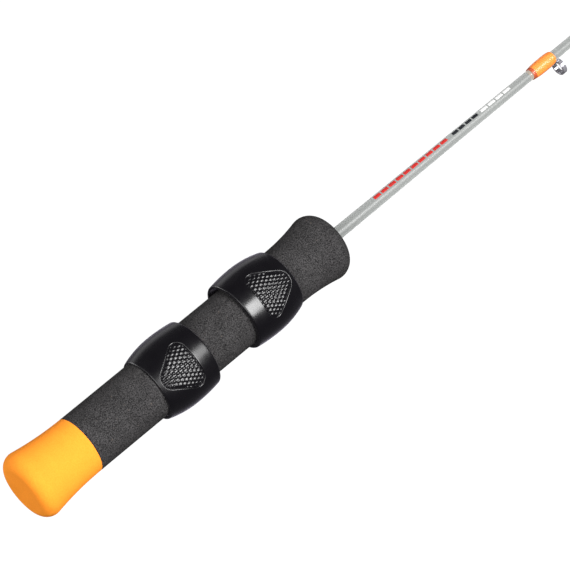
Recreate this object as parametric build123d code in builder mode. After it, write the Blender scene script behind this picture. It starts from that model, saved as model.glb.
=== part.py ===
"""Ice fishing rod: a short tapered blank in a foam grip, with two sliding reel rings and line guides.

The rod lies along X. The butt's flat end face is at X = 0 and the tip points along +X.
+Z is up when the rod is held, so the reel and the line guides hang on the -Z side.
All lengths are in millimetres.
"""

from build123d import *
import os
from math import cos, radians, sin

# ---- driving dimensions ----
BLANK_BUTT_X = 8.0  # the blank's buried end
BLANK_RADIUS = 2.85  # parallel inside the grip
TAPER_START_X = 168.0
BLANK_TIP_X = 577.5
BLANK_TIP_RADIUS = 1.06

GRIP_RADIUS = 13.0
CAP_LENGTH = 30.7
CAP_CORNER_RADIUS = 16.25  # where the flare would meet the end face, before rounding
CAP_ROUNDING = 5.5
GRIP_FRONT_X = 172.5
FLARE_START_X = 145.0
FLARE_CORNER_RADIUS = 17.25
FLARE_ROUNDING = 7.0

CORE_RADIUS = 4.5
CORE_FRONT_X = 165.0

RING_LENGTH = 26.3
RING_BORE_RADIUS = GRIP_RADIUS + 0.1  # slides on the foam
RING_OFFSET = 0.43  # the barrel's middle, from the bore's towards the pocket
RING_MOUTH_RADIUS = 15.6
RING_CREST_RADIUS = 16.55
RING_CREST_AT = 12.0  # from the mouth
RING_HEEL_RADIUS = 14.15
RING_ROUNDING = 0.7
POCKET_RADIUS = 13.93  # the eccentric mouth that takes the reel's foot
POCKET_OFFSET = 0.88
POCKET_DEPTH = 14.0
POCKET_END_RADIUS = RING_BORE_RADIUS - 0.2
WINDOW_BASE_AT = 7.3  # from the mouth
WINDOW_HALF_BASE = 13.5
WINDOW_HEIGHT = 21.6  # to the sharp apex, before rounding
WINDOW_NOSE_RADIUS = 5.0
WINDOW_CORNER_RADIUS = 3.8
WINDOW_DEPTH = 0.5
WINDOW_REACH = RING_CREST_RADIUS + 1.0

# name, X of the mouth, direction from the mouth to the heel, angle of a window about X from +Y
REEL_RINGS = (
    ("rear_reel_ring", 93.35, -1, 143.0),
    ("front_reel_ring", 116.2, 1, 139.0),
)

# name, X of the eye's middle, outer radius of the eye, length of the thread wrap
GUIDES = (
    ("guide_1", 311.0, 3.8, 13.6),
    ("guide_2", 429.0, 3.2, 12.0),
    ("guide_3", 519.0, 2.7, 10.5),
)
EYE_GAP_RATIO = 0.36  # clear height between blank and eye, per outer radius
EYE_DEPTH_RATIO = 0.62
FRAME_DEPTH_RATIO = 0.5
FRAME_BORE_RATIO = 0.84
EYE_BORE_RATIO = 0.70
FOOT_THICKNESS = 0.4
FOOT_WIDTH_RATIO = 0.7  # foot width, per blank radius
FOOT_INSET = 1.0  # from the thread's butt end to the foot's ground point
FOOT_POINT_LENGTH = 2.5
LEG_THICKNESS = 0.6
WRAP_TO_EYE = 2.9  # from the thread's tip end to the eye's middle
THREAD_EDGE = 0.2  # thread height above the bare blank
THREAD_HEIGHT = 0.55  # and over the foot
COAT_HEIGHT = 1.0  # at the crest
COAT_LEAD = 1.7  # clear epoxy behind the thread
COAT_TAIL = 0.6  # and ahead of it
COAT_SHOULDER = 0.85  # share of the crest's height that is left at the shoulder

TIP_TUBE_START_X = 566.0
TIP_TUBE_END_X = 579.2
TIP_TUBE_RADIUS = 1.6
TIP_EYE_X = 579.25
TIP_EYE_RADIUS = 2.5
TIP_EYE_BORE_RADIUS = 1.55
TIP_FRAME_BORE_RADIUS = 2.05
TIP_EYE_DEPTH = 1.5
TIP_EYE_DROP = 3.6
TIP_THREAD_LENGTH = 6.5
TIP_THREAD_HEIGHT = 0.35
TIP_COAT_HEIGHT = 0.6
SMALL_ROUNDING = 0.2


def blank_radius(x):
    """Radius of the tapered blank at x."""
    slope = (BLANK_RADIUS - BLANK_TIP_RADIUS) / (BLANK_TIP_X - TAPER_START_X)
    return BLANK_RADIUS - slope * max(0.0, x - TAPER_START_X)


def write(part, name):
    """Label a finished piece and write its STEP file."""
    part.label = name
    export_step(part, f"parts/{name}.step")


os.makedirs("parts", exist_ok=True)

# ---- blank: solid fibreglass, buried in the grip and tapered to the tip ----
with BuildPart() as blank:
    with BuildSketch(Plane.XY):
        with BuildLine():
            Polyline(
                (BLANK_BUTT_X, 0),
                (BLANK_BUTT_X, BLANK_RADIUS),
                (TAPER_START_X, BLANK_RADIUS),
                (BLANK_TIP_X, BLANK_TIP_RADIUS),
                (BLANK_TIP_X, 0),
                close=True,
            )
        make_face()
    revolve(axis=Axis.X)
write(blank.part, "blank")

# ---- grip core: stiff sleeve between blank and foam ----
with BuildPart() as grip_core:
    with BuildSketch(Plane.YZ.offset(BLANK_BUTT_X)):
        Circle(CORE_RADIUS)
        Circle(BLANK_RADIUS, mode=Mode.SUBTRACT)
    extrude(amount=CORE_FRONT_X - BLANK_BUTT_X)
write(grip_core.part, "grip_core")

# ---- butt cap: flared foam end with a flat face ----
with BuildPart() as butt_cap:
    with BuildSketch(Plane.XY):
        with BuildLine():
            Polyline((CAP_LENGTH, GRIP_RADIUS), (CAP_LENGTH, 0), (0, 0), (0, CAP_CORNER_RADIUS))
            TangentArc((CAP_LENGTH, GRIP_RADIUS), (0, CAP_CORNER_RADIUS), tangent=(-1, 0))
        profile = make_face()
        fillet(profile.vertices().sort_by(Axis.Y)[-1], CAP_ROUNDING)
    revolve(axis=Axis.X)
    add(grip_core.part, mode=Mode.SUBTRACT)
    add(blank.part, mode=Mode.SUBTRACT)
write(butt_cap.part, "butt_cap")

# ---- grip foam: parallel tube with a flared, rounded front ----
with BuildPart() as grip_foam:
    with BuildSketch(Plane.XY):
        with BuildLine():
            Polyline(
                (FLARE_START_X, GRIP_RADIUS),
                (CAP_LENGTH, GRIP_RADIUS),
                (CAP_LENGTH, 0),
                (GRIP_FRONT_X, 0),
                (GRIP_FRONT_X, FLARE_CORNER_RADIUS),
            )
            TangentArc(
                (FLARE_START_X, GRIP_RADIUS),
                (GRIP_FRONT_X, FLARE_CORNER_RADIUS),
                tangent=(1, 0),
            )
        profile = make_face()
        fillet(profile.vertices().sort_by(Axis.Y)[-1], FLARE_ROUNDING)
    revolve(axis=Axis.X)
    add(grip_core.part, mode=Mode.SUBTRACT)
    add(blank.part, mode=Mode.SUBTRACT)
write(grip_foam.part, "grip_foam")


# ---- reel rings: two alike, mouths facing each other, that slide on the foam ----
def ring_outline(sink):
    """Draw the barrel outline from mouth to heel, sunk below the surface by sink."""
    crest = (RING_CREST_AT, RING_CREST_RADIUS - sink)
    TangentArc(crest, (0, RING_MOUTH_RADIUS - sink), tangent=(-1, 0))
    TangentArc(crest, (RING_LENGTH, RING_HEEL_RADIUS - sink), tangent=(1, 0))


for ring_name, mouth_x, away, window_angle in REEL_RINGS:
    # in these planes x runs from the mouth to the heel; the barrel is eccentric towards the pocket
    along = (away, 0, 0)
    pocket_angle = radians(window_angle - 90 * away)
    pocket_way = Vector(0, cos(pocket_angle), sin(pocket_angle))
    barrel_mouth = Vector(mouth_x, 0, 0) + RING_OFFSET * pocket_way
    barrel_axis = Axis(barrel_mouth, (1, 0, 0))
    lathe = Plane(origin=barrel_mouth, x_dir=along, z_dir=(0, 0, away))
    window_out = Vector(0, cos(radians(window_angle)), sin(radians(window_angle)))
    window_plane = Plane(origin=barrel_mouth, x_dir=along, z_dir=window_out)
    pocket_centre = (POCKET_OFFSET * pocket_way.Y, POCKET_OFFSET * pocket_way.Z)

    # a window each side, as deep as the skin that the prism shares with the barrel
    with BuildPart() as windows:
        with BuildSketch(window_plane):
            with BuildLine():
                FilletPolyline(
                    (WINDOW_BASE_AT, -WINDOW_HALF_BASE),
                    (WINDOW_BASE_AT, WINDOW_HALF_BASE),
                    (WINDOW_BASE_AT + WINDOW_HEIGHT, 0),
                    radius=[WINDOW_CORNER_RADIUS, WINDOW_CORNER_RADIUS, WINDOW_NOSE_RADIUS],
                    close=True,
                )
            make_face()
        extrude(amount=WINDOW_REACH, both=True)
        with BuildSketch(lathe):
            with BuildLine():
                ring_outline(WINDOW_DEPTH)
                Polyline(
                    (0, RING_MOUTH_RADIUS - WINDOW_DEPTH),
                    (0, WINDOW_REACH),
                    (RING_LENGTH, WINDOW_REACH),
                    (RING_LENGTH, RING_HEEL_RADIUS - WINDOW_DEPTH),
                )
            make_face()
        revolve(axis=barrel_axis, mode=Mode.INTERSECT)

    with BuildPart() as pocket:
        with BuildSketch(Plane.YZ.offset(mouth_x)):
            with Locations(pocket_centre):
                Circle(POCKET_RADIUS)
        with BuildSketch(Plane.YZ.offset(mouth_x + away * POCKET_DEPTH)):
            Circle(POCKET_END_RADIUS)
        loft()

    with BuildPart() as ring:
        with BuildSketch(lathe):
            with BuildLine():
                ring_outline(0)
                Polyline(
                    (0, RING_MOUTH_RADIUS),
                    (0, 0),
                    (RING_LENGTH, 0),
                    (RING_LENGTH, RING_HEEL_RADIUS),
                )
            profile = make_face()
            fillet(profile.vertices().sort_by(Axis.Y)[2:4], RING_ROUNDING)
        revolve(axis=barrel_axis)
        add(windows.part, mode=Mode.SUBTRACT)
        with BuildSketch(Plane.YZ.offset(mouth_x)):
            Circle(RING_BORE_RADIUS)
        extrude(amount=away * RING_LENGTH, mode=Mode.SUBTRACT)
        add(pocket.part, mode=Mode.SUBTRACT)
    write(ring.part, ring_name)


# ---- line guides: a frame whose foot is bound to the blank, and an eye pressed into it ----
def bound_wrap(name, start_x, end_x, thread_height, coat_height, under):
    """Build and write the thread from start_x to end_x and its epoxy coat, both clear of under."""
    crest_x = (start_x + end_x) / 2
    ramp_x = start_x + FOOT_INSET + FOOT_POINT_LENGTH
    coat_start_x = start_x - COAT_LEAD
    coat_end_x = end_x + COAT_TAIL
    shoulder = blank_radius(end_x) + COAT_SHOULDER * coat_height
    with BuildPart() as thread:
        with BuildSketch(Plane.XY):
            with BuildLine():
                Polyline(
                    (start_x, 0),
                    (start_x, blank_radius(start_x) + THREAD_EDGE),
                    (ramp_x, blank_radius(ramp_x) + thread_height),
                    (end_x, blank_radius(end_x) + thread_height),
                    (end_x, 0),
                    close=True,
                )
            make_face()
        revolve(axis=Axis.X)
        for piece in under:
            add(piece, mode=Mode.SUBTRACT)
    write(thread.part, f"{name}_thread")

    with BuildPart() as coat:
        with BuildSketch(Plane.XY):
            with BuildLine():
                ThreePointArc(
                    (coat_start_x, blank_radius(coat_start_x)),
                    (crest_x, blank_radius(crest_x) + coat_height),
                    (end_x, shoulder),
                )
                Line((end_x, shoulder), (coat_end_x, blank_radius(coat_end_x)))
                Line((coat_end_x, blank_radius(coat_end_x)), (coat_end_x, 0))
                Line((coat_end_x, 0), (coat_start_x, 0))
                Line((coat_start_x, 0), (coat_start_x, blank_radius(coat_start_x)))
            make_face()
        revolve(axis=Axis.X)
        add(thread.part, mode=Mode.SUBTRACT)
        for piece in under:
            add(piece, mode=Mode.SUBTRACT)
    write(coat.part, f"{name}_epoxy")


def eye_insert(name, x, drop, outer_radius, bore_radius, depth):
    """Build and write the polished tube that the line runs through, drop below the axis."""
    with BuildPart() as eye:
        with BuildSketch(Plane.YZ.offset(x - depth / 2)):
            with Locations((0, -drop)):
                Circle(outer_radius)
                Circle(bore_radius, mode=Mode.SUBTRACT)
        extrude(amount=depth)
        inner_edges = eye.edges().filter_by(GeomType.CIRCLE).sort_by(SortBy.RADIUS)[:2]
        outer_edges = eye.edges().filter_by(GeomType.CIRCLE).sort_by(SortBy.RADIUS)[-2:]
        fillet(inner_edges, 0.6 * (outer_radius - bore_radius))
        fillet(outer_edges, 0.2 * (outer_radius - bore_radius))
    write(eye.part, f"{name}_eye")


for guide_name, eye_x, eye_radius, thread_length in GUIDES:
    thread_end_x = eye_x - WRAP_TO_EYE
    thread_start_x = thread_end_x - thread_length
    foot_x = thread_start_x + FOOT_INSET
    surface = blank_radius(eye_x)
    drop = surface + (1 + EYE_GAP_RATIO) * eye_radius
    frame_bore = FRAME_BORE_RATIO * eye_radius
    frame_depth = FRAME_DEPTH_RATIO * eye_radius
    face_x = eye_x - frame_depth / 2
    eye_top = drop - eye_radius
    foot_face = blank_radius(thread_end_x) + FOOT_THICKNESS

    with BuildPart() as frame:
        # side view: x along the rod, y upwards
        with BuildSketch(Plane.XZ):
            with BuildLine():
                Polyline(
                    (foot_x, 0),
                    (foot_x, -blank_radius(foot_x)),
                    (
                        foot_x + FOOT_POINT_LENGTH,
                        -blank_radius(foot_x + FOOT_POINT_LENGTH) - FOOT_THICKNESS,
                    ),
                    (thread_end_x + COAT_TAIL, -foot_face),
                    (face_x + LEG_THICKNESS / 2, -eye_top - LEG_THICKNESS / 2),
                    (eye_x + LEG_THICKNESS, -eye_top - LEG_THICKNESS / 2),
                    (eye_x + LEG_THICKNESS, -eye_top + LEG_THICKNESS / 2),
                    (thread_end_x + COAT_TAIL + 2 * LEG_THICKNESS, -surface),
                    (thread_end_x + COAT_TAIL + 2 * LEG_THICKNESS, 0),
                    close=True,
                )
            make_face()
        extrude(amount=FOOT_WIDTH_RATIO * surface / 2, both=True)
        add(blank.part, mode=Mode.SUBTRACT)
        with BuildSketch(Plane.YZ.offset(face_x)):
            with Locations((0, -drop)):
                Circle(eye_radius)
        extrude(amount=frame_depth)
        with BuildSketch(Plane.YZ.offset(face_x)):
            with Locations((0, -drop)):
                Circle(frame_bore)
        extrude(amount=frame_depth, mode=Mode.SUBTRACT)
    write(frame.part, f"{guide_name}_frame")

    eye_insert(
        guide_name,
        eye_x,
        drop,
        frame_bore,
        EYE_BORE_RATIO * eye_radius,
        EYE_DEPTH_RATIO * eye_radius,
    )
    bound_wrap(
        guide_name,
        thread_start_x,
        thread_end_x,
        THREAD_HEIGHT,
        COAT_HEIGHT,
        (frame.part, blank.part),
    )

# ---- tip-top: a tube glued over the blank's end, with its eye below ----
with BuildPart() as tip_frame:
    with BuildSketch(Plane.YZ.offset(TIP_TUBE_START_X)):
        Circle(TIP_TUBE_RADIUS)
    extrude(amount=TIP_TUBE_END_X - TIP_TUBE_START_X)
    fillet(tip_frame.edges().sort_by(Axis.X)[-1], 2 * SMALL_ROUNDING)
    add(blank.part, mode=Mode.SUBTRACT)
    with BuildSketch(Plane.YZ.offset(TIP_EYE_X - TIP_EYE_DEPTH / 2)):
        with Locations((0, -TIP_EYE_DROP)):
            Circle(TIP_EYE_RADIUS)
    extrude(amount=TIP_EYE_DEPTH)
    with BuildSketch(Plane.YZ.offset(TIP_EYE_X - TIP_EYE_DEPTH / 2)):
        with Locations((0, -TIP_EYE_DROP)):
            Circle(TIP_FRAME_BORE_RADIUS)
    extrude(amount=TIP_EYE_DEPTH, mode=Mode.SUBTRACT)
write(tip_frame.part, "tip_frame")

eye_insert(
    "tip", TIP_EYE_X, TIP_EYE_DROP, TIP_FRAME_BORE_RADIUS, TIP_EYE_BORE_RADIUS, TIP_EYE_DEPTH
)
bound_wrap(
    "tip",
    TIP_TUBE_START_X - COAT_TAIL - TIP_THREAD_LENGTH,
    TIP_TUBE_START_X - COAT_TAIL,
    TIP_THREAD_HEIGHT,
    TIP_COAT_HEIGHT,
    (blank.part,),
)
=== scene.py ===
"""Ice fishing rod: the visual model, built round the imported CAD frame.

The rod lies along X with its butt at the origin, and rests on its two reel rings. Outlines are worked
out in millimetres and turned into metres when a piece is made.
"""

from math import asin, atan2, copysign, cos, degrees, exp, pi, radians, sin, sqrt, tan

import bmesh
import bpy
from mathutils import Matrix, Vector
from mathutils.geometry import delaunay_2d_cdt


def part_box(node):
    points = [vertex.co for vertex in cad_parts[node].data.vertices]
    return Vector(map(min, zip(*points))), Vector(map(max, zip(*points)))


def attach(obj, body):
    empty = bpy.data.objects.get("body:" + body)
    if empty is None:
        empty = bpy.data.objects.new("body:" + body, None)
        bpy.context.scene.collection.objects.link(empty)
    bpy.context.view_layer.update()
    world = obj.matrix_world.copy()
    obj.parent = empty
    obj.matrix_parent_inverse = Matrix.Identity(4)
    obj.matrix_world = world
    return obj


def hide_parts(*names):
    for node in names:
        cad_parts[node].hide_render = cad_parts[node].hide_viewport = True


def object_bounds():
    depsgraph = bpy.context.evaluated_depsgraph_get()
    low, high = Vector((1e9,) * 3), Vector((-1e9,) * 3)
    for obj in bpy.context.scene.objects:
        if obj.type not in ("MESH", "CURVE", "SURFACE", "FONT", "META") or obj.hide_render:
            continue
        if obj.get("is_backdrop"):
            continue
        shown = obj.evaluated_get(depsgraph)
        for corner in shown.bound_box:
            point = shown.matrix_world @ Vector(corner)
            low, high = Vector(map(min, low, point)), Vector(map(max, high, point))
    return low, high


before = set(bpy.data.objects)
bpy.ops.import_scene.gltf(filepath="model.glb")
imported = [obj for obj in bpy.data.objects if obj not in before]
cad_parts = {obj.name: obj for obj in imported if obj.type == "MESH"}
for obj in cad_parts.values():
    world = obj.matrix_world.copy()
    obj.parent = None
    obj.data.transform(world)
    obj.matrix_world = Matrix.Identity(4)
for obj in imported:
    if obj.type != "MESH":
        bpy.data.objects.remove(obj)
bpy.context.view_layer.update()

# ---- driving dimensions: millimetres, where the frame doesn't give them ----
MM = 0.001

TAPER_START_X = 168.0
BLANK_TIP_RADIUS = 1.06

CAP_CORNER_RADIUS = 16.25  # where the flare would meet the end face, before rounding
CAP_ROUNDING = 5.5
GRIP_RADIUS = 13.0
FLARE_START_X = 145.0
FLARE_CORNER_RADIUS = 17.25
FLARE_ROUNDING = 7.0
CORE_RADIUS = 4.5
SEAM = ((0.1, 0.0), (0.02, 0.06), (0.0, 0.2))  # distance from the seam, depth below the foam's surface
BORE_LEAD = 0.3  # a small chamfer where the blank leaves the foam
BORE_LEAD_HEIGHT = 0.35

RING_OFFSET = 0.43  # the barrel's middle, from the bore's towards the pocket
RING_MOUTH_RADIUS = 15.6
RING_CREST_AT = 12.0  # from the mouth
RING_HEEL_RADIUS = 14.15
RING_BORE_RADIUS = GRIP_RADIUS + 0.1
RING_ROUNDING = 0.7
RING_INNER_ROUNDING = 0.2
RING_LEAST_WALL = 0.25
POCKET_RADIUS = 13.93
POCKET_OFFSET = 0.88
POCKET_DEPTH = 14.0
WINDOW_BASE_AT = 7.3  # from the mouth
WINDOW_HALF_BASE = 13.5
WINDOW_HEIGHT = 21.6  # to the sharp apex, before rounding
WINDOW_NOSE_RADIUS = 5.0
WINDOW_CORNER_RADIUS = 3.8
WINDOW_DEPTH = 0.5
KNOB_HEIGHT = 0.46
KNOB_HALF_LENGTH = 1.62  # along the rod
KNOB_HALF_ANGLE = 3.4  # degrees about the rod

# ring node, its body, direction from mouth to heel, angle of a window about X from +Y
REEL_RINGS = (
    ("rear_reel_ring", "rear_ring", -1, 143.0),
    ("front_reel_ring", "front_ring", 1, 139.0),
)


def box_mm(node):
    """A CAD node's lowest and highest corners, in millimetres."""
    low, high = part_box(node)
    return low / MM, high / MM


BLANK_LOW, BLANK_HIGH = box_mm("blank")
CAP_LOW, CAP_HIGH = box_mm("butt_cap")
FOAM_LOW, FOAM_HIGH = box_mm("grip_foam")
CORE_LOW, CORE_HIGH = box_mm("grip_core")


def blank_radius(x):
    """Radius of the tapered blank at x."""
    slope = (BLANK_HIGH.z - BLANK_TIP_RADIUS) / (BLANK_HIGH.x - TAPER_START_X)
    return BLANK_HIGH.z - slope * max(0.0, x - TAPER_START_X)


# ---- outlines: lists of (x, r) points beside the axis ----
def between(first, last, steps):
    """Evenly spaced numbers from first to last, steps of them after the first."""
    return [first + (last - first) * k / steps for k in range(steps + 1)]


def parallel_arc(start, end, steps):
    """Points from start to end on the arc that leaves start parallel to the axis."""
    run, rise = end[0] - start[0], end[1] - start[1]
    radius = (run * run + rise * rise) / (2 * rise)
    side = copysign(1, run)
    return [
        (start[0] + side * radius * sin(a), start[1] + radius * (1 - cos(a)))
        for a in between(0, 2 * atan2(rise, abs(run)), steps)
    ]


def flare(face_x, start_x, corner_radius, rounding):
    """Points from the parallel grip at start_x out along a flare, round its corner, to the end face."""
    run, rise = face_x - start_x, corner_radius - GRIP_RADIUS
    side = copysign(1, run)
    bend = (run * run + rise * rise) / (2 * rise)
    centre_x = face_x - side * rounding
    reach = abs(centre_x - start_x)
    centre_r = GRIP_RADIUS + bend - sqrt((bend + rounding) ** 2 - reach * reach)
    lean = asin(reach / (bend + rounding))
    curve = [
        (start_x + side * bend * sin(a), GRIP_RADIUS + bend * (1 - cos(a)))
        for a in between(0, lean, 24)
    ]
    corner = [
        (centre_x + side * rounding * sin(b), centre_r + rounding * cos(b))
        for b in between(-lean, pi / 2, 28)[1:]
    ]
    return curve + corner


def rounded(corners, steps=6):
    """The closed polyline through (x, r, rounding) corners, each rounded to its own radius."""
    points = []
    for i, (x, r, rounding) in enumerate(corners):
        here = Vector((x, r))
        if not rounding:
            points.append(here)
            continue
        back = (Vector(corners[i - 1][:2]) - here).normalized()
        on = (Vector(corners[(i + 1) % len(corners)][:2]) - here).normalized()
        half = back.angle(on) / 2
        centre = here + (back + on).normalized() * rounding / sin(half)
        first = here + back * rounding / tan(half) - centre
        last = here + on * rounding / tan(half) - centre
        start = atan2(first.y, first.x)
        turn = (atan2(last.y, last.x) - start + pi) % (2 * pi) - pi
        for a in between(start, start + turn, steps):
            points.append(centre + rounding * Vector((cos(a), sin(a))))
    return points


# ---- mesh building ----
class Surface:
    """Vertices in millimetres and faces, gathered loop by loop."""

    def __init__(self):
        self.points, self.faces = [], []

    def loop(self, points):
        """Add a loop of points and return their indices."""
        start = len(self.points)
        self.points.extend(Vector(p) for p in points)
        return list(range(start, len(self.points)))

    def bridge(self, a, b, skip=()):
        """Faces between two loops; a loop of one point is a pole. Columns in skip stay open."""
        count = max(len(a), len(b))
        for i in range(count):
            if i in skip:
                continue
            j = (i + 1) % count
            corners = [a[i % len(a)], a[j % len(a)], b[j % len(b)], b[i % len(b)]]
            self.faces.append([c for k, c in enumerate(corners) if c not in corners[:k]])

    def turn(self, outline, segments, centre_z=0.0, closed=False):
        """Turn an outline about the line along X at height centre_z."""
        loops = []
        for x, r in outline:
            count = segments if r > 1e-6 else 1
            turns = [2 * pi * k / count for k in range(count)]
            loops.append(self.loop((x, r * cos(a), centre_z + r * sin(a)) for a in turns))
        for a, b in zip(loops, loops[1:] + loops[:1] if closed else loops[1:]):
            self.bridge(a, b)


def piece(name, surface, material, body="rod", replaces=(), sharp=35):
    """Make a mesh object in metres from a surface, and give it its body, material and CAD nodes."""
    mesh = bpy.data.meshes.new(name)
    mesh.from_pydata([p * MM for p in surface.points], [], surface.faces)
    work = bmesh.new()
    work.from_mesh(mesh)
    bmesh.ops.recalc_face_normals(work, faces=work.faces)
    work.to_mesh(mesh)
    work.free()
    mesh.shade_smooth()
    mesh.set_sharp_from_angle(angle=radians(sharp))
    mesh.materials.append(material)
    made = bpy.data.objects.new(name, mesh)
    bpy.context.scene.collection.objects.link(made)
    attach(made, body)
    if replaces:
        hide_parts(*replaces)
    return made


# ---- materials ----
class Paint:
    """A Principled material; its texture nodes read object coordinates, in metres."""

    def __init__(self, name, colour, roughness, **sockets):
        self.material = bpy.data.materials.new(name)
        self.material.use_nodes = True
        self.tree = self.material.node_tree
        self.shader = self.tree.nodes["Principled BSDF"]
        self.shader.inputs["Base Color"].default_value = (*colour, 1)
        self.shader.inputs["Roughness"].default_value = roughness
        for socket, value in sockets.items():
            self.shader.inputs[socket.replace("_", " ")].default_value = value
        self.place = self.add("ShaderNodeTexCoord").outputs["Object"]

    def add(self, kind, inputs=(), **settings):
        """Add a node; an input is a number, a colour or another node's output."""
        made = self.tree.nodes.new(kind)
        for name, value in settings.items():
            setattr(made, name, value)
        for name, value in dict(inputs).items():
            if isinstance(value, bpy.types.NodeSocket):
                self.tree.links.new(value, made.inputs[name])
            else:
                made.inputs[name].default_value = value
        return made

    def noise(self, size, detail=3.0, stretch=(1, 1, 1)):
        """Noise with features of about size millimetres, drawn out by stretch."""
        place = self.place
        if stretch != (1, 1, 1):
            scale = tuple(1 / s for s in stretch)
            place = self.add("ShaderNodeMapping", {"Vector": place, "Scale": scale}).outputs[0]
        made = self.add(
            "ShaderNodeTexNoise",
            {"Vector": place, "Scale": 1 / (size * MM), "Detail": detail, "Roughness": 0.6},
        )
        return made.outputs[0]

    def cells(self, size):
        """Distance to the nearest of scattered points about size millimetres apart."""
        made = self.add("ShaderNodeTexVoronoi", {"Vector": self.place, "Scale": 1 / (size * MM)})
        return made.outputs["Distance"]

    def ramp(self, value, *stops):
        """A colour ramp through (position, colour) stops."""
        made = self.add("ShaderNodeValToRGB", {"Fac": value})
        ramp = made.color_ramp
        while len(ramp.elements) < len(stops):
            ramp.elements.new(0.5)
        for element, (position, colour) in zip(ramp.elements, stops):
            element.position = position
            element.color = (*colour, 1)
        return made.outputs["Color"]

    def mix(self, share, a, b, blend="MIX"):
        """Colour a, mixed with colour b by share."""
        made = self.add("ShaderNodeMix", data_type="RGBA", blend_type=blend)
        for index, value in ((0, share), (6, a), (7, b)):
            if isinstance(value, bpy.types.NodeSocket):
                self.tree.links.new(value, made.inputs[index])
            else:
                made.inputs[index].default_value = value if index == 0 else (*value, 1)
        return made.outputs[2]

    def drive(self, socket, value):
        """Link a node's output to one of the shader's sockets."""
        self.tree.links.new(value, self.shader.inputs[socket])

    def bump(self, height, depth, strength=1.0):
        """Bump by height, depth millimetres from 0 to 1, over any bump there is."""
        normal = self.shader.inputs["Normal"]
        inputs = {"Height": height, "Distance": depth * MM, "Strength": strength}
        if normal.links:
            inputs["Normal"] = normal.links[0].from_socket
        self.drive("Normal", self.add("ShaderNodeBump", inputs).outputs[0])


def eva_foam(name, dark, light, speck, grit, mottle):
    """Closed-cell foam, ground to shape: gritty open cells, soft mottling and a few odd specks.

    grit is the grain's size in millimetres, and mottle the share of light that the clouds take away.
    """
    paint = Paint(name, light, 0.85, Specular_IOR_Level=0.1, Diffuse_Roughness=0.1)
    grain = paint.noise(grit, 2)
    colour = paint.ramp(grain, (0.36, dark), (0.64, light))
    cloud = paint.ramp(paint.noise(7, 3), (0.35, (1 - mottle,) * 3), (0.65, (1.0,) * 3))
    colour = paint.mix(1.0, colour, cloud, "MULTIPLY")
    specks = paint.ramp(paint.noise(1.3, 2), (0.70, (0, 0, 0)), (0.76, (1, 1, 1)))
    colour = paint.mix(specks, colour, speck)
    paint.drive("Base Color", colour)
    paint.bump(paint.cells(0.45), 0.05)
    paint.bump(grain, 0.06)
    paint.bump(paint.noise(9, 2), 0.12)
    return paint.material


def ring_plastic():
    """Moulded black plastic with a satin skin."""
    paint = Paint(
        "ring_plastic",
        (0.0022, 0.0018, 0.0028),
        0.26,
        Specular_IOR_Level=0.5,
        Sheen_Weight=0.36,
        Sheen_Roughness=0.27,
        Sheen_Tint=(0.75, 0.7, 0.85, 1),
    )
    wear = paint.noise(5, 5)
    paint.drive("Roughness", paint.ramp(wear, (0.3, (0.22,) * 3), (0.7, (0.31,) * 3)))
    paint.bump(paint.noise(0.25, 3), 0.006)
    return paint.material


def fibreglass():
    """Clear grey resin with fine fibres along the rod."""
    paint = Paint(
        "fibreglass",
        (0.23, 0.24, 0.23),
        0.4,
        Diffuse_Roughness=1.0,
        Sheen_Weight=0.4,
        Sheen_Roughness=0.5,
        Coat_Weight=0.15,
        Coat_Roughness=0.25,
    )
    fibres = paint.noise(0.12, 4, stretch=(60, 1, 1))
    cloud = paint.noise(5, 2, stretch=(4, 1, 1))
    fine = paint.ramp(fibres, (0.3, (0.208, 0.217, 0.211)), (0.7, (0.252, 0.262, 0.252)))
    broad = paint.ramp(cloud, (0.3, (0.182, 0.19, 0.186)), (0.7, (0.26, 0.27, 0.26)))
    paint.drive("Base Color", paint.mix(0.3, fine, broad))
    paint.bump(fibres, 0.01)
    return paint.material


def steel(name, roughness):
    """Polished steel with faint drawing marks round the part."""
    paint = Paint(name, (0.56, 0.55, 0.60), roughness, Metallic=0.75)
    marks = paint.noise(0.2, 3, stretch=(1, 8, 8))
    smooth, rough = (roughness * 0.7,) * 3, (roughness * 1.4,) * 3
    paint.drive("Roughness", paint.ramp(marks, (0.3, smooth), (0.7, rough)))
    return paint.material


def thread_fibre(name, dark, light):
    """Wrapping thread soaked in clear epoxy."""
    paint = Paint(name, light, 0.4, Coat_Weight=0.8, Coat_Roughness=0.12)
    lie = paint.noise(0.15, 3, stretch=(1, 6, 6))
    paint.drive("Base Color", paint.ramp(lie, (0.3, dark), (0.7, light)))
    paint.bump(lie, 0.01)
    return paint.material


def clear_epoxy():
    """Brushed-on clear epoxy that levelled as it set."""
    paint = Paint("clear_epoxy", (1, 0.55, 0.2), 0.03, Alpha=0.1, IOR=1.5)
    paint.bump(paint.noise(2.5, 1), 0.02)
    return paint.material


def core_plastic():
    """Matt moulded sleeve inside the grip."""
    paint = Paint("core_plastic", (0.05, 0.05, 0.055), 0.6)
    paint.bump(paint.noise(0.5, 3), 0.02)
    return paint.material


def ink(name, colour):
    """Printed ink, thin enough for the fibres to show a little."""
    paint = Paint(name, colour, 0.35, Coat_Weight=0.5, Coat_Roughness=0.08)
    worn = paint.noise(0.15, 4, stretch=(8, 1, 1))
    faded = tuple(c * 0.75 + 0.04 for c in colour)
    paint.drive("Base Color", paint.ramp(worn, (0.35, faded), (0.5, colour)))
    return paint.material


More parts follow.
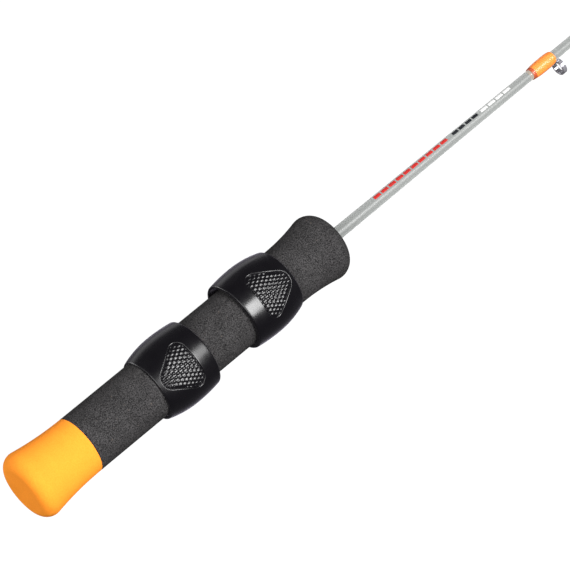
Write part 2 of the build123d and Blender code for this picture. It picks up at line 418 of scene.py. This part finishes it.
ORANGE_FOAM = eva_foam(
    "eva_orange",
    dark=(0.93, 0.285, 0.022),
    light=(1.0, 0.32, 0.03),
    speck=(0.9, 0.265, 0.018),
    grit=0.5,
    mottle=0.04,
)
BLACK_FOAM = eva_foam(
    "eva_black",
    dark=(0.004, 0.004, 0.0042),
    light=(0.068, 0.065, 0.066),
    speck=(0.095, 0.078, 0.066),
    grit=0.42,
    mottle=0.22,
)
RING_PLASTIC = ring_plastic()
FIBREGLASS = fibreglass()
GUIDE_STEEL = steel("guide_steel", 0.2)
EYE_STEEL = steel("eye_steel", 0.13)
ORANGE_THREAD = thread_fibre("thread_orange", (0.97, 0.19, 0.012), (1.0, 0.33, 0.05))
RED_THREAD = thread_fibre("thread_trim", (0.30, 0.012, 0.004), (0.50, 0.035, 0.008))
EPOXY = clear_epoxy()

# ---- blank, grip core and foam ----
BLANK_SEGMENTS = 64
FOAM_SEGMENTS = 256

blank = Surface()
blank.turn(
    [
        (BLANK_LOW.x, 0),
        (BLANK_LOW.x, BLANK_HIGH.z),
        *((x, blank_radius(x)) for x in between(TAPER_START_X, BLANK_HIGH.x, 60)),
        (BLANK_HIGH.x, 0),
    ],
    BLANK_SEGMENTS,
)
piece("blank", blank, FIBREGLASS, replaces=["blank"])

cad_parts["grip_core"].data.materials[0] = core_plastic()


def seam(x, side):
    """The foam's edge at the seam at x, coming in from the given side: half of a fine groove."""
    return [(x + side * along, GRIP_RADIUS - depth) for along, depth in SEAM]


cap = Surface()
cap.turn(
    [
        (CAP_LOW.x, 0),
        *reversed(flare(CAP_LOW.x, CAP_HIGH.x, CAP_CORNER_RADIUS, CAP_ROUNDING)[1:]),
        *seam(CAP_HIGH.x, -1),
        (CAP_HIGH.x, CORE_RADIUS),
        (CORE_LOW.x, CORE_RADIUS),
        (CORE_LOW.x, 0),
    ],
    FOAM_SEGMENTS,
)
butt_cap = piece("butt_cap", cap, ORANGE_FOAM, replaces=["butt_cap"])

foam = Surface()
foam.turn(
    [
        (FOAM_LOW.x, CORE_RADIUS),
        *reversed(seam(FOAM_LOW.x, 1)),
        *((x, GRIP_RADIUS) for x in between(FOAM_LOW.x + 3, FLARE_START_X - 3, 12)),
        *flare(FOAM_HIGH.x, FLARE_START_X, FLARE_CORNER_RADIUS, FLARE_ROUNDING),
        (FOAM_HIGH.x, blank_radius(FOAM_HIGH.x) + BORE_LEAD_HEIGHT),
        (FOAM_HIGH.x - BORE_LEAD, blank_radius(FOAM_HIGH.x)),
        (CORE_HIGH.x, blank_radius(CORE_HIGH.x)),
        (CORE_HIGH.x, CORE_RADIUS),
    ],
    FOAM_SEGMENTS,
    closed=True,
)
grip_foam = piece("grip_foam", foam, BLACK_FOAM, replaces=["grip_foam"])

# ---- reel rings ----
RING_SEGMENTS = 288
WINDOW_COLUMNS = 46  # of those, from a window's middle to the side of its field
KNURL_RADIUS = 16.0  # where arcs and angles of the knurl are matched
KNOB_STEPS = 4  # knurl points from one knob to the next
KNOB_REACH = 18  # knobs tried each way from the window's base
KNOB_MARGIN = 0.14  # from the floor's edge to the first knurl points
FIELD_FROM_MOUTH = 2.2  # the field that holds a window keeps clear of the barrel's rounded edges
FIELD_FROM_HEEL = 0.9
FIELD_CENTRE_SHARE = 0.4  # how far along the window the rays that lay out its edge start
SKIN_SHARES = (0.25, 0.45, 0.62, 0.76, 0.87, 0.95, 1.0)  # of the way from field edge to shoulder
SHOULDER_OUT = 0.3  # from the window's outline to where its bevel starts
# distance out from the window's outline and depth below the skin, from the skin down to the floor
WINDOW_BEVEL = (
    (0.24, 0.015),
    (0.16, 0.06),
    (0.08, 0.13),
    (0.02, 0.22),
    (-0.03, 0.33),
    (-0.07, WINDOW_DEPTH),
)


def barrel_radius(x, crest, length):
    """Radius at x from the mouth of a barrel with this crest radius and length."""
    if x < RING_CREST_AT:
        run, drop = RING_CREST_AT, crest - RING_MOUTH_RADIUS
    else:
        run, drop = length - RING_CREST_AT, crest - RING_HEEL_RADIUS
    bend = (run * run + drop * drop) / (2 * drop)
    return crest - bend + sqrt(bend * bend - (x - RING_CREST_AT) ** 2)


def pocket_radius(x, angle):
    """Distance from the rod's axis to the bore or its eccentric pocket, angle from the pocket's way."""
    share = max(0.0, 1 - x / POCKET_DEPTH)
    radius = RING_BORE_RADIUS + (POCKET_RADIUS - RING_BORE_RADIUS) * share
    offset = POCKET_OFFSET * share
    return max(RING_BORE_RADIUS, offset * cos(angle) + sqrt(radius**2 - (offset * sin(angle)) ** 2))


def knob_rise(x, angle):
    """Height of the knurl above its grooves at x and angle in the window."""
    u = (x - WINDOW_BASE_AT) / KNOB_HALF_LENGTH
    v = degrees(angle) / KNOB_HALF_ANGLE
    return KNOB_HEIGHT * abs(cos(pi * (u + v) / 2) * cos(pi * (u - v) / 2))


def window_outline():
    """The window's rounded triangle, as (x, y) seen from straight outside."""
    return rounded(
        [
            (WINDOW_BASE_AT, -WINDOW_HALF_BASE, WINDOW_CORNER_RADIUS),
            (WINDOW_BASE_AT, WINDOW_HALF_BASE, WINDOW_CORNER_RADIUS),
            (WINDOW_BASE_AT + WINDOW_HEIGHT, 0, WINDOW_NOSE_RADIUS),
        ],
        steps=30,
    )


def ray_to(outline, centre, target):
    """Where the line from centre towards target crosses a convex outline."""
    way = target - centre
    for a, b in zip(outline, outline[1:] + outline[:1]):
        side = b - a
        cross = way.x * side.y - way.y * side.x
        if abs(cross) < 1e-12:
            continue
        gap = a - centre
        along = (gap.x * side.y - gap.y * side.x) / cross
        share = (gap.x * way.y - gap.y * way.x) / cross
        if along > 0 and -1e-9 <= share <= 1 + 1e-9:
            return centre + way * along
    raise ValueError("no crossing")


def knobs_inside(loop):
    """Knurl points well inside a loop of (x, arc) in millimetres, and the edges between them."""
    half_arc = radians(KNOB_HALF_ANGLE) * KNURL_RADIUS

    def inside(p):
        return all(
            (b - a).cross(p - a) > KNOB_MARGIN * (b - a).length
            for a, b in zip(loop, loop[1:] + loop[:1])
        )

    points, index = [], {}
    steps = range(-KNOB_REACH * KNOB_STEPS, KNOB_REACH * KNOB_STEPS + 1)
    for i in steps:
        for j in steps:
            along, across = (i + j) / KNOB_STEPS, (i - j) / KNOB_STEPS
            p = Vector((WINDOW_BASE_AT + along * KNOB_HALF_LENGTH, across * half_arc))
            if inside(p):
                index[i, j] = len(points)
                points.append(p)
    edges = [
        (k, index[on]) for (i, j), k in index.items() for on in ((i + 1, j), (i, j + 1)) if on in index
    ]
    return points, edges


def add_window(surface, place, skin_at, field):
    """Fill a field's edge, a loop of (index, x, angle), with barrel skin, the window's wall and its knurl.

    place(x, radius, angle) gives a point of the ring, and skin_at(x) the barrel's radius.
    """
    outline = window_outline()
    window_length = WINDOW_HEIGHT - WINDOW_NOSE_RADIUS
    centre = Vector((WINDOW_BASE_AT + FIELD_CENTRE_SHARE * window_length, 0))
    edge = [Vector((x, skin_at(x) * sin(a))) for _, x, a in field]
    rim = [ray_to(outline, centre, p) for p in edge]
    out = []
    for k, p in enumerate(rim):
        way = (rim[(k + 1) % len(rim)] - rim[k - 1]).normalized()
        normal = Vector((way.y, -way.x))
        out.append(normal if normal.dot(p - centre) > 0 else -normal)

    def ring_of(points, sink):
        """A loop of the ring through (x, y) points, sink below the skin."""
        made = []
        for p in points:
            skin = skin_at(p.x)
            made.append(place(p.x, skin - sink, asin(p.y / skin)))
        return surface.loop(made)

    last = [index for index, _, _ in field]
    shoulder = [p + n * SHOULDER_OUT for p, n in zip(rim, out)]
    for share in SKIN_SHARES:
        now = ring_of([a.lerp(b, share) for a, b in zip(edge, shoulder)], 0)
        surface.bridge(last, now)
        last = now
    for offset, sink in WINDOW_BEVEL:
        floor = [p + n * offset for p, n in zip(rim, out)]
        now = ring_of(floor, sink)
        surface.bridge(last, now)
        last = now

    loop = [Vector((p.x, KNURL_RADIUS * asin(p.y / skin_at(p.x)))) for p in floor]
    if sum(a.cross(b) for a, b in zip(loop, loop[1:] + loop[:1])) < 0:
        loop.reverse()
        now = now[::-1]
    inner, pairs = knobs_inside(loop)
    count = len(loop)
    edges = [(k, (k + 1) % count) for k in range(count)]
    edges += [(a + count, b + count) for a, b in pairs]
    verts, _, faces, sources = delaunay_2d_cdt(loop + inner, edges, [], 1, 1e-5)[:4]
    index = []
    for v, source in zip(verts, sources):
        if source and source[0] < count:
            index.append(now[source[0]])
        else:
            angle = v.y / KNURL_RADIUS
            radius = skin_at(v.x) - WINDOW_DEPTH + knob_rise(v.x, angle)
            index.extend(surface.loop([place(v.x, radius, angle)]))
    surface.faces.extend([index[k] for k in face] for face in faces)


for node, body, away, window_angle in REEL_RINGS:
    low, high = box_mm(node)
    mouth_x = high.x if away < 0 else low.x
    ring_length = high.x - low.x
    crest = (high.z - low.z) / 2
    pocket_turn = radians(window_angle - away * 90)
    ring = Surface()

    def skin_at(x):
        """Radius of this ring's barrel at x from the mouth."""
        return barrel_radius(x, crest, ring_length)

    def barrel_place(x, radius, angle):
        """A point of the eccentric barrel, angle from the window's middle."""
        turn = radians(window_angle) + angle
        y = RING_OFFSET * cos(pocket_turn) + radius * cos(turn)
        z = RING_OFFSET * sin(pocket_turn) + radius * sin(turn)
        spread = max(1.0, (RING_BORE_RADIUS + RING_LEAST_WALL) / sqrt(y * y + z * z))
        return (mouth_x + away * x, y * spread, z * spread)

    def barrel_loop(x, radius):
        """A loop of the barrel's skin."""
        turns = [2 * pi * k / RING_SEGMENTS for k in range(RING_SEGMENTS)]
        return ring.loop(barrel_place(x, radius, turn) for turn in turns)

    def bore_loop(x, growth):
        """A loop of the bore and its pocket, each point growth further out."""
        points = []
        for k in range(RING_SEGMENTS):
            turn = radians(window_angle) + 2 * pi * k / RING_SEGMENTS
            radius = growth + pocket_radius(x, turn - pocket_turn)
            points.append((mouth_x + away * x, radius * cos(turn), radius * sin(turn)))
        return ring.loop(points)

    skin = parallel_arc((RING_CREST_AT, crest), (0, RING_MOUTH_RADIUS), 10)[::-1]
    skin += parallel_arc((RING_CREST_AT, crest), (ring_length, RING_HEEL_RADIUS), 12)[1:]
    # the first and last corners only set how the roundings turn, and are dropped
    outline = rounded(
        [
            (0, RING_BORE_RADIUS + 1, 0),
            (*skin[0], RING_ROUNDING),
            *((x, r, 0) for x, r in skin[1:-1]),
            (*skin[-1], RING_ROUNDING),
            (ring_length, RING_BORE_RADIUS, 0),
        ]
    )[1:-1]
    loops = [barrel_loop(x, r) for x, r in outline]
    for turned in between(pi / 2, 0, 4):
        x = ring_length - RING_INNER_ROUNDING * (1 - sin(turned))
        loops.append(bore_loop(x, RING_INNER_ROUNDING * (1 - cos(turned))))
    loops += [bore_loop(x, 0) for x in between(POCKET_DEPTH, RING_INNER_ROUNDING, 7)]
    for turned in between(0, pi / 2, 4)[1:]:
        x = RING_INNER_ROUNDING * (1 - sin(turned))
        loops.append(bore_loop(x, RING_INNER_ROUNDING * (1 - cos(turned))))

    rows = [
        k for k, (x, _) in enumerate(outline) if FIELD_FROM_MOUTH < x < ring_length - FIELD_FROM_HEEL
    ]
    first, last = rows[0], rows[-1]
    middles = (0, RING_SEGMENTS // 2)
    open_columns = {
        (middle + c) % RING_SEGMENTS for middle in middles for c in range(-WINDOW_COLUMNS, WINDOW_COLUMNS)
    }
    for k, (a, b) in enumerate(zip(loops, loops[1:] + loops[:1])):
        ring.bridge(a, b, skip=open_columns if first <= k < last else ())
    for middle in middles:
        columns = range(-WINDOW_COLUMNS, WINDOW_COLUMNS + 1)
        edge = [(first, c) for c in columns] + [(k, columns[-1]) for k in range(first + 1, last)]
        edge += [(last, c) for c in reversed(columns)]
        edge += [(k, columns[0]) for k in range(last - 1, first, -1)]
        field = [
            (loops[k][(middle + c) % RING_SEGMENTS], outline[k][0], 2 * pi * c / RING_SEGMENTS)
            for k, c in edge
        ]
        turn = 2 * pi * middle / RING_SEGMENTS
        add_window(ring, lambda x, r, a: barrel_place(x, r, a + turn), skin_at, field)
    piece(node, ring, RING_PLASTIC, body=body, replaces=[node], sharp=32)

# ---- line guides ----
THREAD_PITCH = 0.27
THREAD_PARTS = (0.0, 0.12, 0.3, 0.5, 0.7, 0.88)  # of a turn's pitch, where its round back has loops
THREAD_WAVE = 0.05  # depth of the valley between turns
THREAD_LEAST = 0.02  # height above the blank at the ends
THREAD_SEGMENTS = 64
THREAD_SHARE = 0.88  # of the coat's height
TRIM_SHARE = 0.84
TRIM_LENGTH = 1.5
FOOT_LUMP = 0.15  # how far the guide's foot lifts the thread
FOOT_SIDE = 270  # degrees about X: below the blank
FOOT_SPREAD = 38
WRAP_CREST_AT = 0.6  # share of a wrap's length
FINE_SEGMENTS = 96
COAT_ROOT = 0.1  # the coat's inside, below the blank's surface
EYE_BORE_SHARE = 0.70 / 0.84
STAMPING_EDGE = 0.1  # softened edge of a stamping


def wrap_share(x, low, high):
    """The wrap's height at x as a share of its greatest: a slow rise from the butt end, a blunt tip."""
    along = (x - low.x) / (high.x - low.x)
    if along < WRAP_CREST_AT:
        return max(0.0, 1 - abs(1 - along / WRAP_CREST_AT) ** 2.2) ** 0.8
    return sqrt(max(0.0, 1 - ((along - WRAP_CREST_AT) / (1 - WRAP_CREST_AT)) ** 4))


def wound_thread(name, guide, start_x, end_x, share, material, replaces=()):
    """Closely wound thread from start_x to end_x, share of the way up through the wrap's coat."""
    low, high = box_mm(f"{guide}_epoxy")
    height = share * (high.z - blank_radius((low.x + high.x) / 2))
    lump = 0.0 if guide == "tip" else FOOT_LUMP
    wound = Surface()
    turns = max(2, round((end_x - start_x) / THREAD_PITCH))
    pitch = (end_x - start_x) / turns
    loops = [wound.loop([(start_x, 0, 0)])]
    for turn in range(turns):
        for part in THREAD_PARTS:
            x = start_x + (turn + part) * pitch
            swell = wrap_share(x, low, high)
            rise = height * swell - THREAD_WAVE * (1 - sqrt(max(0.0, 1 - (2 * part - 1) ** 2)))
            points = []
            for k in range(THREAD_SEGMENTS):
                a = 2 * pi * k / THREAD_SEGMENTS
                off = (degrees(a) - FOOT_SIDE + 180) % 360 - 180
                r = blank_radius(x) + max(THREAD_LEAST, rise)
                r += lump * swell * exp(-((off / FOOT_SPREAD) ** 2))
                points.append((x, r * cos(a), r * sin(a)))
            loops.append(wound.loop(points))
    loops.append(wound.loop([(end_x, 0, 0)]))
    for a, b in zip(loops, loops[1:]):
        wound.bridge(a, b)
    return piece(name, wound, material, replaces=replaces, sharp=80)


def epoxy_coat(node):
    """The clear coat: a smooth skin from the bare blank up over the thread and down again."""
    low, high = box_mm(node)
    height = high.z - blank_radius((low.x + high.x) / 2)
    outside = []
    for turned in between(0, pi, 64):
        x = low.x + (high.x - low.x) * (1 - cos(turned)) / 2
        outside.append((x, blank_radius(x) + height * wrap_share(x, low, high)))
    inside = [(x, blank_radius(x) - COAT_ROOT) for x in (high.x, low.x)]
    coat = Surface()
    coat.turn(outside + inside, FINE_SEGMENTS, closed=True)
    return piece(node, coat, EPOXY, replaces=[node], sharp=60)


def polished_eye(node):
    """The eye's tube: a parallel outside and a well-rounded bore."""
    low, high = box_mm(node)
    outer = (high.z - low.z) / 2
    bore = outer * EYE_BORE_SHARE
    wall = outer - bore
    outline = rounded(
        [
            (low.x, bore, 0.6 * wall),
            (low.x, outer, 0.2 * wall),
            (high.x, outer, 0.2 * wall),
            (high.x, bore, 0.6 * wall),
        ],
        steps=10,
    )
    eye = Surface()
    eye.turn(outline, FINE_SEGMENTS, centre_z=(low.z + high.z) / 2, closed=True)
    return piece(node, eye, EYE_STEEL, replaces=[node], sharp=60)


def polish(node):
    """Soften a CAD stamping's edges and give it its steel."""
    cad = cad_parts[node]
    cad.data.materials.clear()
    cad.data.materials.append(GUIDE_STEEL)
    bevel = cad.modifiers.new("soft_edges", "BEVEL")
    bevel.width = STAMPING_EDGE * MM
    bevel.segments = 3
    bevel.limit_method = "ANGLE"
    bevel.angle_limit = radians(40)


for guide in ("guide_1", "guide_2", "guide_3", "tip"):
    thread_low, thread_high = box_mm(f"{guide}_thread")
    trim_end = thread_low.x + TRIM_LENGTH
    wound_thread(f"{guide}_trim", guide, thread_low.x, trim_end, TRIM_SHARE, RED_THREAD)
    wound_thread(
        f"{guide}_thread",
        guide,
        trim_end,
        thread_high.x,
        THREAD_SHARE,
        ORANGE_THREAD,
        replaces=[f"{guide}_thread"],
    )
    epoxy_coat(f"{guide}_epoxy")
    polished_eye(f"{guide}_eye")
    polish(f"{guide}_frame")

# ---- printed marks on the blank: plain dashes ----
PRINT_MIDDLE = 98.0  # degrees about X
PRINT_HALF = 19.0
PRINT_PROUD = 0.02  # above the blank, and as far into it
DASH_PITCH = 4.4
DASH_SHARE = 0.84  # of the pitch
# name, first and last X, colour
PRINTS = (
    ("red", 198.5, 242.6, (0.5, 0.02, 0.016)),
    ("black", 246.0, 261.5, (0.006, 0.008, 0.011)),
    ("white", 263.5, 281.5, (0.75, 0.75, 0.74)),
)


def printed_row(name, start_x, end_x, colour):
    """A row of thin patches of ink that follow the blank."""
    row = Surface()
    angles = [radians(PRINT_MIDDLE + a) for a in between(-PRINT_HALF, PRINT_HALF, 14)]
    count = round((end_x - start_x) / DASH_PITCH)
    pitch = (end_x - start_x) / (count - 1 + DASH_SHARE)
    for k in range(count):
        dash_x = start_x + k * pitch
        loops = []
        for x in between(dash_x, dash_x + DASH_SHARE * pitch, 3):
            around = [(blank_radius(x) + PRINT_PROUD, a) for a in angles]
            around += [(blank_radius(x) - PRINT_PROUD, a) for a in reversed(angles)]
            loops.append(row.loop((x, r * cos(a), r * sin(a)) for r, a in around))
        for a, b in zip(loops, loops[1:]):
            row.bridge(a, b)
        row.faces += [loops[0][:], loops[-1][:]]
    return piece(name, row, ink(name, colour), sharp=60)


for colour_name, start_x, end_x, colour in PRINTS:
    printed_row(f"print_{colour_name}", start_x, end_x, colour)

# ---- floor, lights and camera: a stage only, none of it part of the rod ----
FLOOR_Z = box_mm("rear_reel_ring")[0].z
FLOOR_SIZE = 12.0  # metres


def stage_floor():
    """A plain floor under the rings: pale to the camera, dim where gloss mirrors it."""
    middle = (CAMERA_TARGET.x, 0, FLOOR_Z * MM)
    bpy.ops.mesh.primitive_plane_add(size=FLOOR_SIZE, location=middle)
    floor = bpy.context.active_object
    floor.name = "floor"
    material = bpy.data.materials.new("floor")
    material.use_nodes = True
    nodes, links = material.node_tree.nodes, material.node_tree.links
    shader = nodes["Principled BSDF"]
    shader.inputs["Roughness"].default_value = 1.0
    shader.inputs["Specular IOR Level"].default_value = 0.0
    path = nodes.new("ShaderNodeLightPath")
    shader.inputs["Base Color"].default_value = (0.06, 0.06, 0.063, 1)
    shader.inputs["Emission Color"].default_value = (1, 1, 1, 1)
    links.new(path.outputs["Is Camera Ray"], shader.inputs["Emission Strength"])
    floor.data.materials.append(material)
    floor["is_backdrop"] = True


def stage_world():
    """A dim studio that looks white behind the object."""
    world = bpy.data.worlds.new("studio")
    bpy.context.scene.world = world
    world.use_nodes = True
    nodes, links = world.node_tree.nodes, world.node_tree.links
    mix = nodes.new("ShaderNodeMix")
    mix.data_type = "RGBA"
    mix.inputs[6].default_value = (0.09, 0.09, 0.095, 1)
    mix.inputs[7].default_value = (1, 1, 1, 1)
    links.new(nodes.new("ShaderNodeLightPath").outputs["Is Camera Ray"], mix.inputs[0])
    links.new(mix.outputs[2], nodes["Background"].inputs["Color"])


def softbox(name, around, along, half_around, half_along, radiance, distance=1.5):
    """A rectangular light of the given radiance, aimed square at the rod's middle.

    around is its angle about X from +Y and along its angle towards +X, and each half angle is its
    reach to that side, all in degrees.
    """
    light = bpy.data.lights.new(name, "AREA")
    light.shape = "RECTANGLE"
    light.size = 2 * distance * tan(radians(half_around))
    light.size_y = 2 * distance * tan(radians(half_along))
    light.energy = radiance * pi * light.size * light.size_y
    lamp = bpy.data.objects.new(name, light)
    turn, lean = radians(around), radians(along)
    back = Vector((sin(lean), cos(lean) * cos(turn), cos(lean) * sin(turn)))
    right = Vector((1, 0, 0)).cross(back).normalized()
    up = back.cross(right)
    lamp.matrix_world = Matrix.Translation(CAMERA_TARGET + back * distance) @ (
        Matrix((right, up, back)).transposed().to_4x4()
    )
    bpy.context.scene.collection.objects.link(lamp)


# in metres, on the rod's axis at the middle of what the picture shows
CAMERA_TARGET = Vector((0.1431, 0, 0))
CAMERA_FORWARD = Vector((0.3907, 0.6509, -0.6509))
CAMERA_UP = Vector((0.5856, 0.3698, 0.7214))
CAMERA_DISTANCE = 1.278
CAMERA_OFFSET = (0.00172, -0.00205)  # of the aim, to the picture's right and up
CAMERA_LENS = 195.8


def stage_camera():
    """The camera: a long lens, well back, looking down the rod from behind the butt."""
    forward = CAMERA_FORWARD.normalized()
    right = forward.cross(CAMERA_UP).normalized()
    up = right.cross(forward)
    data = bpy.data.cameras.new("camera")
    data.lens = CAMERA_LENS
    data.clip_start, data.clip_end = 0.01, 50
    camera = bpy.data.objects.new("camera", data)
    aim = CAMERA_TARGET + right * CAMERA_OFFSET[0] + up * CAMERA_OFFSET[1]
    camera.matrix_world = Matrix.Translation(aim - forward * CAMERA_DISTANCE) @ (
        Matrix((right, up, -forward)).transposed().to_4x4()
    )
    bpy.context.scene.collection.objects.link(camera)
    bpy.context.scene.camera = camera


stage_floor()
stage_world()
stage_camera()
softbox("key", 149, 9, 17, 10, 21.5)
softbox("halo", 145, -5, 26, 24, 0.4)
softbox("wing", 144, 31, 12, 8, 9.0)
softbox("fill", 140, -16, 12, 9, 2.5)
softbox("front", 128, -58, 20, 20, 4.0)
softbox("top", 75, -40, 20, 14, 1.0)
softbox("back", 5, -30, 15, 20, 3.0)
softbox("rim", 12, 0, 10, 40, 0.6)
bpy.context.scene.view_settings.view_transform = "Standard"

low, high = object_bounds()
